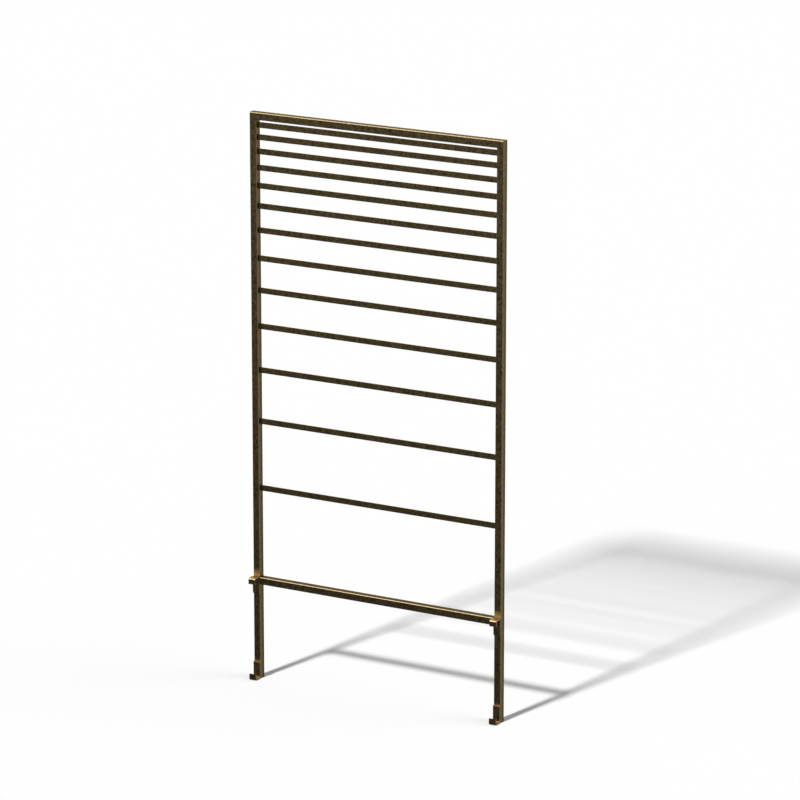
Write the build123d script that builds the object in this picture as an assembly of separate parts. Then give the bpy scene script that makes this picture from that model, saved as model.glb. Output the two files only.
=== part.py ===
from build123d import *
import math
import os

# Garden trellis of welded steel that hooks onto the back of a planter box.
# Millimetres, +Z up. The ground is z = 0, and the origin is the middle of the
# whole outline at ground level. The hooks reach out to the front, along -Y.

# Overall sizes
overall_width = 940.0
overall_height = 1930.0
lower_rail_top = 354.5

# Square tube of the frame
tube = 25.4
tube_wall = 1.5
tube_corner = 3.0

# Flat bars, and the clear gaps from the top rail down to the lower rail.
# The gaps widen downwards, and together they fill the lattice at any height.
bar_height = 19.0
bar_thickness = 4.8
bar_edge = 0.8
gap_steps = (8, 21.5, 28, 35, 41, 48.5, 62, 75, 89, 102, 129.5, 155.5, 210, 298)

# Hooks, bent from strap as wide as the tube
strap_thickness = 4.8
strap_edge = 0.6
bend_inside = 1.2
hook_reach = 32.0
hook_height = 58.7
hook_lip = 21.0
rim_hook_above_rail = 2.8

# Moulded plugs that close the open bottoms of the posts
plug_clearance = 0.2
plug_base = 3.0
plug_skirt = 2.0
pocket_corner = 1.0
plug_height = 16.0

# Weld beads
fillet_leg = 3.5
fillet_bulge = 0.6
groove_clearance = 0.1
groove_flat = 0.6
weld_margin = 1.0

# Places that follow from the sizes above
half_tube = tube / 2
tube_bore = tube - 2 * tube_wall
inner_width = overall_width - 2 * tube
inner_x = inner_width / 2
post_x = overall_width / 2 - half_tube
frame_y = hook_reach / 2
front_y = frame_y - half_tube
back_y = frame_y + half_tube
lattice_top = overall_height - tube
lower_rail_under = lower_rail_top - tube
rim_hook_top = lower_rail_top + rim_hook_above_rail
bend_outside = bend_inside + strap_thickness


def bar_middles():
    """Heights of the middles of the flat bars, from the top bar down."""
    bars = len(gap_steps) - 1
    clear_height = lattice_top - lower_rail_top - bars * bar_height
    gap_unit = clear_height / sum(gap_steps)
    middles = []
    under_side = lattice_top
    for step in gap_steps[:-1]:
        top_side = under_side - step * gap_unit
        under_side = top_side - bar_height
        middles.append((top_side + under_side) / 2)
    return middles


def square_tube(start, along, length):
    """Hollow square tube with rounded corners, from a start point along an axis."""
    outline = RectangleRounded(tube, tube, tube_corner)
    bore = RectangleRounded(tube_bore, tube_bore, tube_corner - tube_wall)
    section = Plane(origin=start, z_dir=along)
    return extrude(section * (outline - bore), amount=length)


def mitre_plane(side):
    """The 45 degree cut between a post and the top rail, facing up and outwards
    from the frame's inner corner to its outer one."""
    outer_corner = (side * overall_width / 2, frame_y, overall_height)
    return Plane(origin=outer_corner, z_dir=(-side, 0, 1))


def post(side):
    """Upright tube: mitred at the top, cut square at the ground."""
    whole = square_tube((side * post_x, frame_y, 0), (0, 0, 1), overall_height)
    return split(whole, bisect_by=mitre_plane(side), keep=Keep.BOTTOM)


def top_rail():
    """Top tube, mitred at both ends."""
    start = (-overall_width / 2, frame_y, overall_height - half_tube)
    rail = square_tube(start, (1, 0, 0), overall_width)
    for side in (-1, 1):
        rail = split(rail, bisect_by=mitre_plane(side), keep=Keep.TOP)
    return rail


def lower_rail():
    """Lower tube, cut square, with its ends against the posts' inner faces."""
    start = (-inner_x, frame_y, lower_rail_top - half_tube)
    return square_tube(start, (1, 0, 0), inner_width)


def flat_bar(middle):
    """Flat bar on edge between the posts, in the middle of the tubes' depth."""
    section = Plane(origin=(-inner_x, frame_y, middle), x_dir=(0, 1, 0), z_dir=(1, 0, 0))
    return extrude(section * RectangleRounded(bar_thickness, bar_height, bar_edge), amount=inner_width)


def bent_hook():
    """Strap bent twice into a hook that opens upwards.

    Its back lies on the plane y = 0, its floor on z = 0, and it reaches out to
    -Y. The strap is swept along the middle of its thickness."""
    half_strap = strap_thickness / 2
    bend_middle = bend_inside + half_strap
    path = Plane.YZ * FilletPolyline(
        (-half_strap, hook_height),
        (-half_strap, half_strap),
        (half_strap - hook_reach, half_strap),
        (half_strap - hook_reach, hook_lip),
        radius=bend_middle,
    )
    strap = Rectangle(tube, strap_thickness)
    strap = chamfer(strap.vertices(), strap_edge)
    start = Plane(origin=path @ 0, x_dir=(1, 0, 0), z_dir=path % 0)
    return sweep(start * strap, path=path)


def foot_hook(side):
    """Hook at the ground: its floor is level with the bottom of the post."""
    return Pos(side * post_x, front_y, 0) * bent_hook()


def rim_hook(side):
    """The same hook turned over, with its plate just above the lower rail."""
    return Pos(side * post_x, front_y, rim_hook_top) * Rot(0, 180, 0) * bent_hook()


def post_plug(side):
    """Hollow moulded plug inside the post, flush with its cut end."""
    width = tube_bore - 2 * plug_clearance
    corner = tube_corner - tube_wall - plug_clearance
    pocket_width = width - 2 * plug_skirt
    outside = extrude(RectangleRounded(width, width, corner), amount=plug_height)
    pocket = extrude(RectangleRounded(pocket_width, pocket_width, pocket_corner), amount=plug_height)
    return Pos(side * post_x, frame_y, 0) * (outside - Pos(0, 0, plug_base) * pocket)


def bar_welds(side):
    """Fillet beads behind the ends of the flat bars, against one post."""
    bulge = fillet_leg / 2 + fillet_bulge / math.sqrt(2)
    rim = ThreePointArc((fillet_leg, 0), (bulge, bulge), (0, fillet_leg))
    profile = make_face(Polyline((0, fillet_leg), (0, 0), (fillet_leg, 0)) + rim)
    length = bar_height - 2 * weld_margin
    bead = extrude(profile, amount=length)
    if side > 0:
        bead = mirror(bead, Plane.YZ)
    x = side * inner_x
    y = frame_y + bar_thickness / 2
    return Compound([Pos(x, y, middle - length / 2) * bead for middle in bar_middles()])


def groove_bead(corner, into_x, into_y, length):
    """Upright bead that fills the groove beside a rounded corner of a post.

    The corner point is where the post's two faces would meet if it were sharp,
    and into_x and into_y point from there into the post."""
    radius = tube_corner + groove_clearance
    reach = tube_corner - math.sqrt(radius**2 - tube_corner**2)
    middle = tube_corner - radius / math.sqrt(2)
    against_post = ThreePointArc((0, reach), (middle, middle), (reach, 0))
    face_side = Polyline((reach, 0), (groove_flat, 0), (0, groove_flat), (0, reach))
    bead = extrude(make_face(face_side + against_post), amount=length)
    if into_x < 0:
        bead = mirror(bead, Plane.YZ)
    if into_y < 0:
        bead = mirror(bead, Plane.XZ)
    return Pos(*corner) * bead


def hook_welds():
    """Beads down both edges of each hook's strap, against the post's front."""
    low_foot = bend_outside + weld_margin
    high_foot = hook_height - weld_margin
    beads = []
    for side in (-1, 1):
        for edge in (-1, 1):
            x = side * post_x + edge * half_tube
            for low in (low_foot, rim_hook_top - high_foot):
                beads.append(groove_bead((x, front_y, low), -edge, 1, high_foot - low_foot))
    return Compound(beads)


def rail_welds():
    """Beads behind the lower rail's ends, against the posts. In front, the
    same grooves lie behind the rim hooks and are filled by the hooks' beads."""
    length = tube - 2 * tube_corner
    low = lower_rail_under + tube_corner
    return Compound([groove_bead((side * inner_x, back_y, low), side, -1, length) for side in (-1, 1)])


def all_parts():
    """Every node of the trellis by name."""
    parts = {"top_rail": top_rail(), "lower_rail": lower_rail()}
    for number, middle in enumerate(bar_middles(), start=1):
        parts[f"bar_{number:02d}"] = flat_bar(middle)
    for name, side in (("left", -1), ("right", 1)):
        parts[f"post_{name}"] = post(side)
        parts[f"rim_hook_{name}"] = rim_hook(side)
        parts[f"foot_hook_{name}"] = foot_hook(side)
        parts[f"post_plug_{name}"] = post_plug(side)
        parts[f"bar_welds_{name}"] = bar_welds(side)
    parts["hook_welds"] = hook_welds()
    parts["rail_welds"] = rail_welds()
    return parts


os.makedirs("parts", exist_ok=True)
for node, shape in all_parts().items():
    export_step(shape, f"parts/{node}.step")
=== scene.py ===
import bpy
import math
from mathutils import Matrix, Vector


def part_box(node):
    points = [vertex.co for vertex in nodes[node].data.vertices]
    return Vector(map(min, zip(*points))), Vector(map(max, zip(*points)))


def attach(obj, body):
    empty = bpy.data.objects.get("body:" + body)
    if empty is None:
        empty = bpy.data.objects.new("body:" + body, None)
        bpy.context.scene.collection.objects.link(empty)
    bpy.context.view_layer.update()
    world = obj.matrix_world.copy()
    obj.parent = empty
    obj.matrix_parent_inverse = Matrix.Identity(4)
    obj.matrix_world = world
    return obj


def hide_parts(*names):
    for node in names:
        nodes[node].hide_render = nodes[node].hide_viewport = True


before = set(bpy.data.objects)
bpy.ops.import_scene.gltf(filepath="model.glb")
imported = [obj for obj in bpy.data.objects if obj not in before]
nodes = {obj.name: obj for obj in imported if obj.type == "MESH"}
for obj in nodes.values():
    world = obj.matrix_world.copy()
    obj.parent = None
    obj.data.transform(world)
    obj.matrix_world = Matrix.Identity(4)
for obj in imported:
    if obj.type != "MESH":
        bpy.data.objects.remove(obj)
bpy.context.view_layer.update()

# Camera. A long lens that stands in front and to the right of the trellis and
# looks slightly down on it.
camera_azimuth = math.radians(29.94)
camera_elevation = math.radians(15.04)
camera_data = bpy.data.cameras.new("camera")
camera_data.lens = 201.8
camera_data.sensor_width = 36.0
camera_data.clip_end = 200.0
camera = bpy.data.objects.new("camera", camera_data)
bpy.context.scene.collection.objects.link(camera)
camera.location = (7.0796, -12.1260, 4.7988)
camera.rotation_euler = (math.pi / 2 - camera_elevation, 0.0, camera_azimuth)
bpy.context.scene.camera = camera


# Lamps. The key lamp stands far away in front, a little to the left and 43
# degrees up, and throws the long soft shadow. A wide soft lamp at the right
# lights the posts' sides and the front corners.
def far_lamp(name, direction, energy, angle):
    lamp_data = bpy.data.lights.new(name, "SUN")
    lamp_data.energy = energy
    lamp_data.angle = math.radians(angle)
    lamp = bpy.data.objects.new(name, lamp_data)
    bpy.context.scene.collection.objects.link(lamp)
    lamp.rotation_mode = "QUATERNION"
    lamp.rotation_quaternion = Vector(direction).to_track_quat("Z", "Y")


far_lamp("key_lamp", (-0.116, -0.710, 0.676), 3.25, 5.2)
far_lamp("side_lamp", (0.86, 0.25, 0.36), 1.25, 50.0)

# Sky. An even white that fills the shadows only a little, and is seen as plain
# white by the camera and in the metal.
world = bpy.data.worlds.new("sky")
bpy.context.scene.world = world
world.use_nodes = True
tree = world.node_tree
sky = tree.nodes["Background"]
sky.inputs["Color"].default_value = (1.0, 1.0, 1.0, 1.0)
ray = tree.nodes.new("ShaderNodeLightPath")
seen = tree.nodes.new("ShaderNodeMath")
seen.operation = "ADD"
seen_through = tree.nodes.new("ShaderNodeMath")
seen_through.operation = "ADD"
strength = tree.nodes.new("ShaderNodeMapRange")
strength.inputs["To Min"].default_value = 0.16
strength.inputs["To Max"].default_value = 1.0
tree.links.new(ray.outputs["Is Camera Ray"], seen.inputs[0])
tree.links.new(ray.outputs["Is Glossy Ray"], seen.inputs[1])
tree.links.new(seen.outputs["Value"], seen_through.inputs[0])
tree.links.new(ray.outputs["Is Transmission Ray"], seen_through.inputs[1])
tree.links.new(seen_through.outputs["Value"], strength.inputs["Value"])
tree.links.new(strength.outputs["Result"], sky.inputs["Strength"])
bpy.context.scene.view_settings.view_transform = "Standard"

# Ground. A plain white sheet under the feet that runs far out on all sides.
bpy.ops.object.select_all(action="DESELECT")
bpy.ops.mesh.primitive_plane_add(size=120.0, location=(0.0, 0.0, 0.0))
floor = bpy.context.object
floor.name = "floor"
floor_paint = bpy.data.materials.new("floor_paint")
floor_paint.use_nodes = True
shader = floor_paint.node_tree.nodes["Principled BSDF"]
shader.inputs["Base Color"].default_value = (0.98, 0.98, 0.98, 1.0)
shader.inputs["Roughness"].default_value = 1.0
shader.inputs["Specular IOR Level"].default_value = 0.0
floor.data.materials.append(floor_paint)


# Hammered coat. The steel is sprayed with a dark bronze that dries in small
# dimples. This effect gives the dimples' height, and masks for small light
# blotches and for wider brown stains.
def hammered_effect():
    group = bpy.data.node_groups.new("hammered", "ShaderNodeTree")
    face = group.interface
    face.new_socket(name="Dimples per metre", in_out="INPUT", socket_type="NodeSocketFloat")
    face.new_socket(name="Height", in_out="OUTPUT", socket_type="NodeSocketFloat")
    face.new_socket(name="Blotches", in_out="OUTPUT", socket_type="NodeSocketFloat")
    face.new_socket(name="Stain", in_out="OUTPUT", socket_type="NodeSocketFloat")
    start = group.nodes.new("NodeGroupInput")
    end = group.nodes.new("NodeGroupOutput")
    place = group.nodes.new("ShaderNodeTexCoord")
    dimples = group.nodes.new("ShaderNodeTexVoronoi")
    dimples.feature = "SMOOTH_F1"
    dimples.inputs["Smoothness"].default_value = 0.6
    grain = group.nodes.new("ShaderNodeTexNoise")
    grain.inputs["Detail"].default_value = 3.0
    grain.inputs["Roughness"].default_value = 0.6
    wider = group.nodes.new("ShaderNodeMath")
    wider.operation = "MULTIPLY"
    wider.inputs[1].default_value = 0.45
    mixed = group.nodes.new("ShaderNodeMath")
    mixed.operation = "ADD"
    spread = group.nodes.new("ShaderNodeMapRange")
    spread.inputs["From Min"].default_value = 0.36
    spread.inputs["From Max"].default_value = 0.66
    clouds = group.nodes.new("ShaderNodeTexNoise")
    clouds.inputs["Scale"].default_value = 70.0
    clouds.inputs["Detail"].default_value = 2.0
    stain = group.nodes.new("ShaderNodeMapRange")
    stain.inputs["From Min"].default_value = 0.40
    stain.inputs["From Max"].default_value = 0.62
    group.links.new(place.outputs["Object"], clouds.inputs["Vector"])
    group.links.new(clouds.outputs["Fac"], stain.inputs["Value"])
    group.links.new(stain.outputs["Result"], end.inputs["Stain"])
    group.links.new(place.outputs["Object"], dimples.inputs["Vector"])
    group.links.new(place.outputs["Object"], grain.inputs["Vector"])
    group.links.new(start.outputs["Dimples per metre"], dimples.inputs["Scale"])
    group.links.new(start.outputs["Dimples per metre"], wider.inputs[0])
    group.links.new(wider.outputs["Value"], grain.inputs["Scale"])
    group.links.new(dimples.outputs["Distance"], mixed.inputs[0])
    group.links.new(grain.outputs["Fac"], mixed.inputs[1])
    group.links.new(mixed.outputs["Value"], end.inputs["Height"])
    group.links.new(grain.outputs["Fac"], spread.inputs["Value"])
    group.links.new(spread.outputs["Result"], end.inputs["Blotches"])
    return group


# Painted highlight. A gold bronze is painted along the rounded upper edges as a
# highlight, and much less along the upright ones. The flats stay dark.
def edge_highlight_effect():
    group = bpy.data.node_groups.new("painted_edge_highlight", "ShaderNodeTree")
    face = group.interface
    face.new_socket(name="Upper edge highlight", in_out="INPUT", socket_type="NodeSocketFloat")
    face.new_socket(name="Upright edge highlight", in_out="INPUT", socket_type="NodeSocketFloat")
    face.new_socket(name="Mask", in_out="OUTPUT", socket_type="NodeSocketFloat")
    start = group.nodes.new("NodeGroupInput")
    end = group.nodes.new("NodeGroupOutput")
    shape = group.nodes.new("ShaderNodeNewGeometry")
    split = group.nodes.new("ShaderNodeSeparateXYZ")
    rising = group.nodes.new("ShaderNodeMapRange")
    rising.interpolation_type = "SMOOTHSTEP"
    rising.inputs["From Min"].default_value = 0.10
    rising.inputs["From Max"].default_value = 0.36
    falling = group.nodes.new("ShaderNodeMapRange")
    falling.interpolation_type = "SMOOTHSTEP"
    falling.inputs["From Min"].default_value = 0.985
    falling.inputs["From Max"].default_value = 0.88
    upper = group.nodes.new("ShaderNodeMath")
    upper.operation = "MULTIPLY"
    more = group.nodes.new("ShaderNodeMath")
    more.operation = "MULTIPLY"
    across = group.nodes.new("ShaderNodeMath")
    across.operation = "MULTIPLY"
    sides = group.nodes.new("ShaderNodeMath")
    sides.operation = "ABSOLUTE"
    upright = group.nodes.new("ShaderNodeMapRange")
    upright.interpolation_type = "SMOOTHSTEP"
    upright.inputs["From Min"].default_value = 0.15
    upright.inputs["From Max"].default_value = 0.45
    less = group.nodes.new("ShaderNodeMath")
    less.operation = "MULTIPLY"
    both = group.nodes.new("ShaderNodeMath")
    both.operation = "MAXIMUM"
    group.links.new(shape.outputs["Normal"], split.inputs["Vector"])
    group.links.new(split.outputs["Z"], rising.inputs["Value"])
    group.links.new(split.outputs["Z"], falling.inputs["Value"])
    group.links.new(rising.outputs["Result"], upper.inputs[0])
    group.links.new(falling.outputs["Result"], upper.inputs[1])
    group.links.new(split.outputs["X"], across.inputs[0])
    group.links.new(split.outputs["Y"], across.inputs[1])
    group.links.new(across.outputs["Value"], sides.inputs[0])
    group.links.new(sides.outputs["Value"], upright.inputs["Value"])
    group.links.new(upright.outputs["Result"], less.inputs[0])
    group.links.new(start.outputs["Upright edge highlight"], less.inputs[1])
    group.links.new(upper.outputs["Value"], more.inputs[0])
    group.links.new(start.outputs["Upper edge highlight"], more.inputs[1])
    group.links.new(more.outputs["Value"], both.inputs[0])
    group.links.new(less.outputs["Value"], both.inputs[1])
    group.links.new(both.outputs["Value"], end.inputs["Mask"])
    return group


# Painted reflection at the hooks. A gold patch, painted on the fronts of the posts
# just above each hook, stands for the lit hook reflected there and fades upwards.
def hook_reflection_effect():
    group = bpy.data.node_groups.new("rubbed_by_planter", "ShaderNodeTree")
    face = group.interface
    face.new_socket(name="Mask", in_out="OUTPUT", socket_type="NodeSocketFloat")
    end = group.nodes.new("NodeGroupOutput")
    place = group.nodes.new("ShaderNodeTexCoord")
    split = group.nodes.new("ShaderNodeSeparateXYZ")
    ramp_per_metre = 2.5
    scale = group.nodes.new("ShaderNodeMath")
    scale.operation = "MULTIPLY"
    scale.inputs[1].default_value = ramp_per_metre
    hook_glow = group.nodes.new("ShaderNodeValToRGB")
    stops = hook_glow.color_ramp
    stops.elements[0].position = 0.0
    stops.elements[0].color = (0.0, 0.0, 0.0, 1.0)
    stops.elements[1].position = 1.0
    stops.elements[1].color = (0.0, 0.0, 0.0, 1.0)
    for height, rub in (
        (0.0042, 0.0), (0.0045, 1.0), (0.0066, 0.40), (0.016, 0.05),
        (0.0572, 0.0), (0.0580, 1.0), (0.0596, 0.35), (0.066, 0.0),
        (0.3574, 0.0), (0.3578, 1.0), (0.366, 0.45), (0.384, 0.0),
    ):
        stop = stops.elements.new(height * ramp_per_metre)
        stop.color = (rub, rub, rub, 1.0)
    shape = group.nodes.new("ShaderNodeNewGeometry")
    facing = group.nodes.new("ShaderNodeVectorMath")
    facing.operation = "DOT_PRODUCT"
    facing.inputs[1].default_value = (0.0, -1.0, 1.0)
    seen = group.nodes.new("ShaderNodeMapRange")
    seen.interpolation_type = "SMOOTHSTEP"
    seen.inputs["From Min"].default_value = 0.5
    seen.inputs["From Max"].default_value = 0.95
    behind_lip = group.nodes.new("ShaderNodeMath")
    behind_lip.operation = "GREATER_THAN"
    lip_middle_y = -0.0262
    behind_lip.inputs[1].default_value = lip_middle_y
    first = group.nodes.new("ShaderNodeMath")
    first.operation = "MULTIPLY"
    second = group.nodes.new("ShaderNodeMath")
    second.operation = "MULTIPLY"
    group.links.new(place.outputs["Object"], split.inputs["Vector"])
    group.links.new(split.outputs["Z"], scale.inputs[0])
    group.links.new(scale.outputs["Value"], hook_glow.inputs["Fac"])
    group.links.new(shape.outputs["Normal"], facing.inputs[0])
    group.links.new(facing.outputs["Value"], seen.inputs["Value"])
    group.links.new(split.outputs["Y"], behind_lip.inputs[0])
    group.links.new(hook_glow.outputs["Color"], first.inputs[0])
    group.links.new(seen.outputs["Result"], first.inputs[1])
    group.links.new(first.outputs["Value"], second.inputs[0])
    group.links.new(behind_lip.outputs["Value"], second.inputs[1])
    group.links.new(second.outputs["Value"], end.inputs["Mask"])
    return group


# Painted sheen on the sides. The outer and inner sides of the posts are painted
# lighter and browner as if lit from the side, and less so towards the back corners.
def side_sheen_effect():
    group = bpy.data.node_groups.new("painted_side_sheen", "ShaderNodeTree")
    face = group.interface
    face.new_socket(name="Mask", in_out="OUTPUT", socket_type="NodeSocketFloat")
    end = group.nodes.new("NodeGroupOutput")
    place = group.nodes.new("ShaderNodeTexCoord")
    where = group.nodes.new("ShaderNodeSeparateXYZ")
    shape = group.nodes.new("ShaderNodeNewGeometry")
    split = group.nodes.new("ShaderNodeSeparateXYZ")
    sideways = group.nodes.new("ShaderNodeMath")
    sideways.operation = "ABSOLUTE"
    side = group.nodes.new("ShaderNodeMapRange")
    side.interpolation_type = "SMOOTHSTEP"
    side.inputs["From Min"].default_value = 0.35
    side.inputs["From Max"].default_value = 0.80
    back = group.nodes.new("ShaderNodeMapRange")
    back.interpolation_type = "SMOOTHSTEP"
    back.inputs["From Min"].default_value = 0.0110
    back.inputs["From Max"].default_value = 0.0200
    back.inputs["To Min"].default_value = 1.0
    back.inputs["To Max"].default_value = 0.30
    both = group.nodes.new("ShaderNodeMath")
    both.operation = "MULTIPLY"
    group.links.new(shape.outputs["Normal"], split.inputs["Vector"])
    group.links.new(split.outputs["X"], sideways.inputs[0])
    group.links.new(sideways.outputs["Value"], side.inputs["Value"])
    group.links.new(place.outputs["Object"], where.inputs["Vector"])
    group.links.new(where.outputs["Y"], back.inputs["Value"])
    group.links.new(side.outputs["Result"], both.inputs[0])
    group.links.new(back.outputs["Result"], both.inputs[1])
    group.links.new(both.outputs["Value"], end.inputs["Mask"])
    return group


hammered = hammered_effect()
rubbed = edge_highlight_effect()
painted_side_sheen = side_sheen_effect()
rubbed_by_planter = hook_reflection_effect()


def bronze_coat(
    name, dimples_per_metre, dimple_depth, upper_highlight, upright_highlight, roughness
):
    """Bronze coat, dark in the hollows and lighter on the high spots, with painted
    shade towards the ground, a painted gold highlight on its edges, a painted sheen on the
    posts' sides and a painted reflection above the hooks."""
    coat = bpy.data.materials.new(name)
    coat.use_nodes = True
    tree = coat.node_tree
    shader = tree.nodes["Principled BSDF"]
    shader.inputs["Metallic"].default_value = 1.0
    shader.inputs["Specular Tint"].default_value = (0.86, 0.80, 0.70, 1.0)
    dimples = tree.nodes.new("ShaderNodeGroup")
    dimples.node_tree = hammered
    dimples.inputs["Dimples per metre"].default_value = dimples_per_metre
    edge_highlight_mask = tree.nodes.new("ShaderNodeGroup")
    edge_highlight_mask.node_tree = rubbed
    edge_highlight_mask.inputs["Upper edge highlight"].default_value = upper_highlight
    edge_highlight_mask.inputs["Upright edge highlight"].default_value = upright_highlight
    sides = tree.nodes.new("ShaderNodeGroup")
    sides.node_tree = painted_side_sheen
    hook_glow = tree.nodes.new("ShaderNodeGroup")
    hook_glow.node_tree = rubbed_by_planter
    blotched = tree.nodes.new("ShaderNodeMix")
    blotched.data_type = "RGBA"
    blotched.inputs["A"].default_value = (0.020, 0.0158, 0.0070, 1.0)
    blotched.inputs["B"].default_value = (0.078, 0.0600, 0.0285, 1.0)
    stained = tree.nodes.new("ShaderNodeMix")
    stained.data_type = "RGBA"
    stained.inputs["B"].default_value = (0.056, 0.0350, 0.0150, 1.0)
    # Painted sheen: the posts' sides are lightened to a browner bronze.
    side_sheen = tree.nodes.new("ShaderNodeMix")
    side_sheen.data_type = "RGBA"
    side_sheen.inputs["B"].default_value = (0.122, 0.086, 0.043, 1.0)
    patchy = tree.nodes.new("ShaderNodeMapRange")
    patchy.inputs["To Min"].default_value = 0.55
    patchy.inputs["To Max"].default_value = 1.10
    side_sheen_amount = tree.nodes.new("ShaderNodeMath")
    side_sheen_amount.operation = "MULTIPLY"
    half = tree.nodes.new("ShaderNodeMath")
    half.operation = "MULTIPLY"
    half.inputs[1].default_value = 0.5
    place = tree.nodes.new("ShaderNodeTexCoord")
    split = tree.nodes.new("ShaderNodeSeparateXYZ")
    # Painted shade: the coat is darkened towards the ground and a little lightened at the
    # top.
    painted_ground_shade = tree.nodes.new("ShaderNodeMapRange")
    painted_ground_shade.inputs["From Max"].default_value = 1.9
    painted_ground_shade.inputs["To Min"].default_value = 0.48
    painted_ground_shade.inputs["To Max"].default_value = 1.05
    shaded_towards_ground = tree.nodes.new("ShaderNodeMix")
    shaded_towards_ground.data_type = "RGBA"
    shaded_towards_ground.blend_type = "MULTIPLY"
    shaded_towards_ground.inputs["Factor"].default_value = 1.0
    # Painted highlight: a gold bronze on the rounded upper edges and, faintly, the upright
    # ones.
    highlighted = tree.nodes.new("ShaderNodeMix")
    highlighted.data_type = "RGBA"
    highlighted.inputs["B"].default_value = (0.46, 0.345, 0.165, 1.0)
    # Painted reflection: a gold patch on the posts' fronts just above each hook.
    rub = tree.nodes.new("ShaderNodeMix")
    rub.data_type = "RGBA"
    rub.inputs["B"].default_value = (0.46, 0.305, 0.110, 1.0)
    gloss = tree.nodes.new("ShaderNodeMapRange")
    gloss.inputs["To Min"].default_value = roughness + 0.05
    gloss.inputs["To Max"].default_value = roughness - 0.05
    bump = tree.nodes.new("ShaderNodeBump")
    bump.inputs["Distance"].default_value = dimple_depth
    bump.inputs["Strength"].default_value = 0.8
    tree.links.new(dimples.outputs["Blotches"], blotched.inputs["Factor"])
    tree.links.new(place.outputs["Object"], split.inputs["Vector"])
    tree.links.new(split.outputs["Z"], painted_ground_shade.inputs["Value"])
    tree.links.new(dimples.outputs["Stain"], half.inputs[0])
    tree.links.new(blotched.outputs["Result"], stained.inputs["A"])
    tree.links.new(half.outputs["Value"], stained.inputs["Factor"])
    tree.links.new(stained.outputs["Result"], shaded_towards_ground.inputs["A"])
    tree.links.new(painted_ground_shade.outputs["Result"], shaded_towards_ground.inputs["B"])
    tree.links.new(shaded_towards_ground.outputs["Result"], side_sheen.inputs["A"])
    tree.links.new(dimples.outputs["Blotches"], patchy.inputs["Value"])
    tree.links.new(sides.outputs["Mask"], side_sheen_amount.inputs[0])
    tree.links.new(patchy.outputs["Result"], side_sheen_amount.inputs[1])
    tree.links.new(side_sheen_amount.outputs["Value"], side_sheen.inputs["Factor"])
    tree.links.new(side_sheen.outputs["Result"], highlighted.inputs["A"])
    tree.links.new(edge_highlight_mask.outputs["Mask"], highlighted.inputs["Factor"])
    tree.links.new(highlighted.outputs["Result"], rub.inputs["A"])
    tree.links.new(hook_glow.outputs["Mask"], rub.inputs["Factor"])
    tree.links.new(rub.outputs["Result"], shader.inputs["Base Color"])
    tree.links.new(dimples.outputs["Blotches"], gloss.inputs["Value"])
    tree.links.new(gloss.outputs["Result"], shader.inputs["Roughness"])
    tree.links.new(dimples.outputs["Height"], bump.inputs["Height"])
    tree.links.new(bump.outputs["Normal"], shader.inputs["Normal"])
    return coat


def finish(names, material):
    for name in names:
        nodes[name].data.materials.clear()
        nodes[name].data.materials.append(material)


# Frame. Two upright square tubes and two cross tubes of steel with rounded
# corners, mitred at the top and butted below, welded and then sprayed.
# The two numbers before the roughness set the painted edge highlight, upper and upright.
tube_coat = bronze_coat("tube_coat", 260.0, 0.0006, 1.0, 0.10, 0.42)
finish(("post_left", "post_right", "top_rail", "lower_rail"), tube_coat)

# Crossbars. Thirteen flat steel bars on edge between the posts, with the same
# coat, and no painted highlight on their nearly sharp edges.
bar_coat = bronze_coat("bar_coat", 280.0, 0.0005, 0.0, 0.0, 0.44)
bar_names = sorted(
    name for name in nodes if name.startswith("bar_") and "welds" not in name
)
finish(bar_names, bar_coat)

# Hooks. Steel strap bent twice and welded to the fronts of the posts, two
# over a planter's rim and two under its bottom edge.
hook_coat = bronze_coat("hook_coat", 280.0, 0.0005, 1.0, 0.12, 0.42)
finish([name for name in nodes if "_hook_" in name], hook_coat)

# Weld beads. Short rippled beads, laid ripple on ripple, that join the bars and
# the lower rail to the posts from behind, and the straps along both edges.
bead_coat = bronze_coat("bead_coat", 420.0, 0.0002, 0.1, 0.0, 0.40)


def rippled_bead(name, radius, length, ripples):
    """One upright bead on the origin: a disc drawn up into ripple after ripple."""
    step = length / (2 * ripples + 2)
    bpy.ops.object.select_all(action="DESELECT")
    bpy.ops.mesh.primitive_circle_add(
        vertices=12, radius=radius * 0.5, fill_type="NGON", location=(0.0, 0.0, -length / 2)
    )
    bead = bpy.context.object
    bead.name = name
    bpy.ops.object.transform_apply(location=True, rotation=True, scale=True)
    bpy.ops.object.mode_set(mode="EDIT")
    bpy.ops.mesh.select_all(action="SELECT")
    size = 0.5
    for ring in range(2 * ripples + 2):
        if ring == 2 * ripples + 1:
            wanted = 0.5
        elif ring % 2:
            wanted = 0.86
        else:
            wanted = 1.0
        bpy.ops.mesh.extrude_region_move(TRANSFORM_OT_translate={"value": (0.0, 0.0, step)})
        bpy.ops.transform.resize(value=(wanted / size, wanted / size, 1.0))
        size = wanted
    bpy.ops.mesh.select_all(action="SELECT")
    bpy.ops.mesh.normals_make_consistent(inside=False)
    bpy.ops.object.mode_set(mode="OBJECT")
    bpy.ops.object.shade_smooth()
    return bead


def laid_beads(name, model, places, replaced):
    """Copies of a bead at each place, joined into one piece for a CAD node."""
    copies = []
    for place in places:
        copy = model.copy()
        copy.data = model.data.copy()
        bpy.context.scene.collection.objects.link(copy)
        copy.location = place
        copies.append(copy)
    bpy.ops.object.select_all(action="DESELECT")
    for copy in copies:
        copy.select_set(True)
    bpy.context.view_layer.objects.active = copies[0]
    bpy.ops.object.join()
    piece = bpy.context.object
    piece.name = name
    bpy.ops.object.transform_apply(location=True, rotation=True, scale=True)
    piece.data.materials.clear()
    piece.data.materials.append(bead_coat)
    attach(piece, "root")
    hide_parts(replaced)
    return piece


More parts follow.
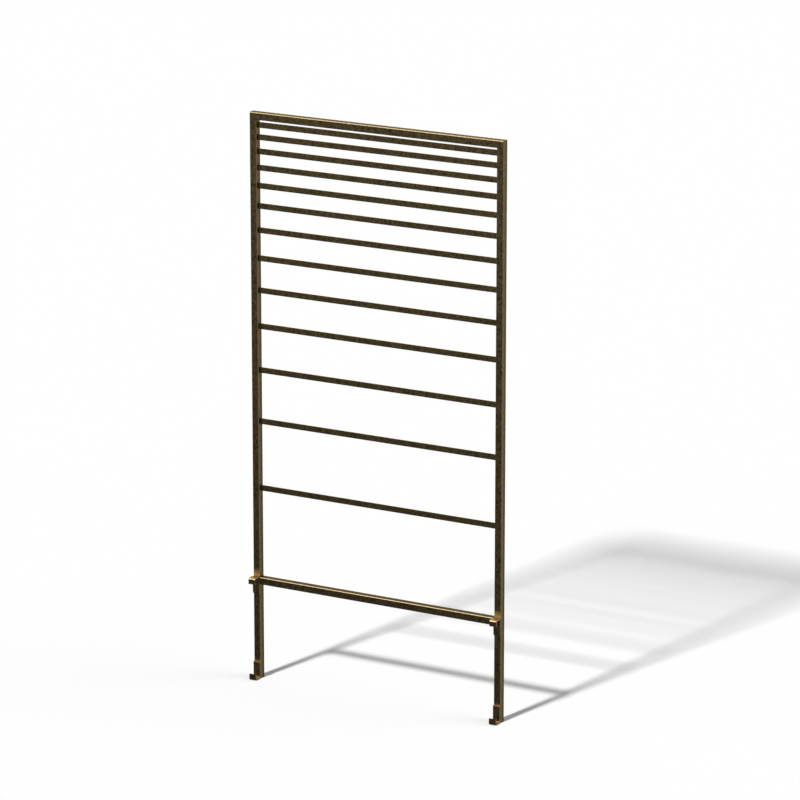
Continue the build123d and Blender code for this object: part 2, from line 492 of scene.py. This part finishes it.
post_inner_x = 0.4446
bar_back_y = 0.0184
fillet_inset = 0.0011
bars = [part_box(name) for name in bar_names]
fillet = rippled_bead("fillet_bead", 0.0023, 0.0170, 9)
for name, side in (("left", -1), ("right", 1)):
    corner_x = side * post_inner_x
    places = [
        (corner_x - side * fillet_inset, bar_back_y + fillet_inset, (low[2] + high[2]) / 2)
        for low, high in bars
    ]
    laid_beads(f"bar_beads_{name}", fillet, places, f"bar_welds_{name}")
bpy.data.objects.remove(fillet)

post_x = 0.4573
half_tube = 0.0127
post_front_y = 0.0033
rim_hook_top = 0.3573
strap_weld_middle = 0.03235
groove_radius = 0.00085
groove_depth = 0.00062
groove_from_face = 0.00088
groove = rippled_bead("groove_bead", groove_radius, 0.0507, 26)
places = []
for side in (-1, 1):
    for edge in (-1, 1):
        x = side * post_x + edge * (half_tube - groove_from_face)
        places.append((x, post_front_y + groove_depth, strap_weld_middle))
        places.append((x, post_front_y + groove_depth, rim_hook_top - strap_weld_middle))
laid_beads("hook_beads", groove, places, "hook_welds")
bpy.data.objects.remove(groove)

post_back_y = 0.0287
rail_middle = 0.3418
behind = rippled_bead("rail_bead", groove_radius, 0.0194, 10)
places = [
    (side * (post_inner_x + groove_depth), post_back_y - groove_from_face, rail_middle)
    for side in (-1, 1)
]
laid_beads("rail_beads", behind, places, "rail_welds")
bpy.data.objects.remove(behind)

# Plugs. Black plastic caps, moulded with a fine grain, pushed into the open
# bottoms of the posts.
plug_plastic = bpy.data.materials.new("plug_plastic")
plug_plastic.use_nodes = True
tree = plug_plastic.node_tree
shader = tree.nodes["Principled BSDF"]
place = tree.nodes.new("ShaderNodeTexCoord")
grain = tree.nodes.new("ShaderNodeTexNoise")
grain.inputs["Scale"].default_value = 1500.0
shade = tree.nodes.new("ShaderNodeMix")
shade.data_type = "RGBA"
shade.inputs["A"].default_value = (0.012, 0.012, 0.013, 1.0)
shade.inputs["B"].default_value = (0.022, 0.022, 0.023, 1.0)
gloss = tree.nodes.new("ShaderNodeMapRange")
gloss.inputs["To Min"].default_value = 0.50
gloss.inputs["To Max"].default_value = 0.66
bump = tree.nodes.new("ShaderNodeBump")
bump.inputs["Distance"].default_value = 0.00005
tree.links.new(place.outputs["Object"], grain.inputs["Vector"])
tree.links.new(grain.outputs["Fac"], shade.inputs["Factor"])
tree.links.new(shade.outputs["Result"], shader.inputs["Base Color"])
tree.links.new(grain.outputs["Fac"], gloss.inputs["Value"])
tree.links.new(gloss.outputs["Result"], shader.inputs["Roughness"])
tree.links.new(grain.outputs["Fac"], bump.inputs["Height"])
tree.links.new(bump.outputs["Normal"], shader.inputs["Normal"])
finish(("post_plug_left", "post_plug_right"), plug_plastic)
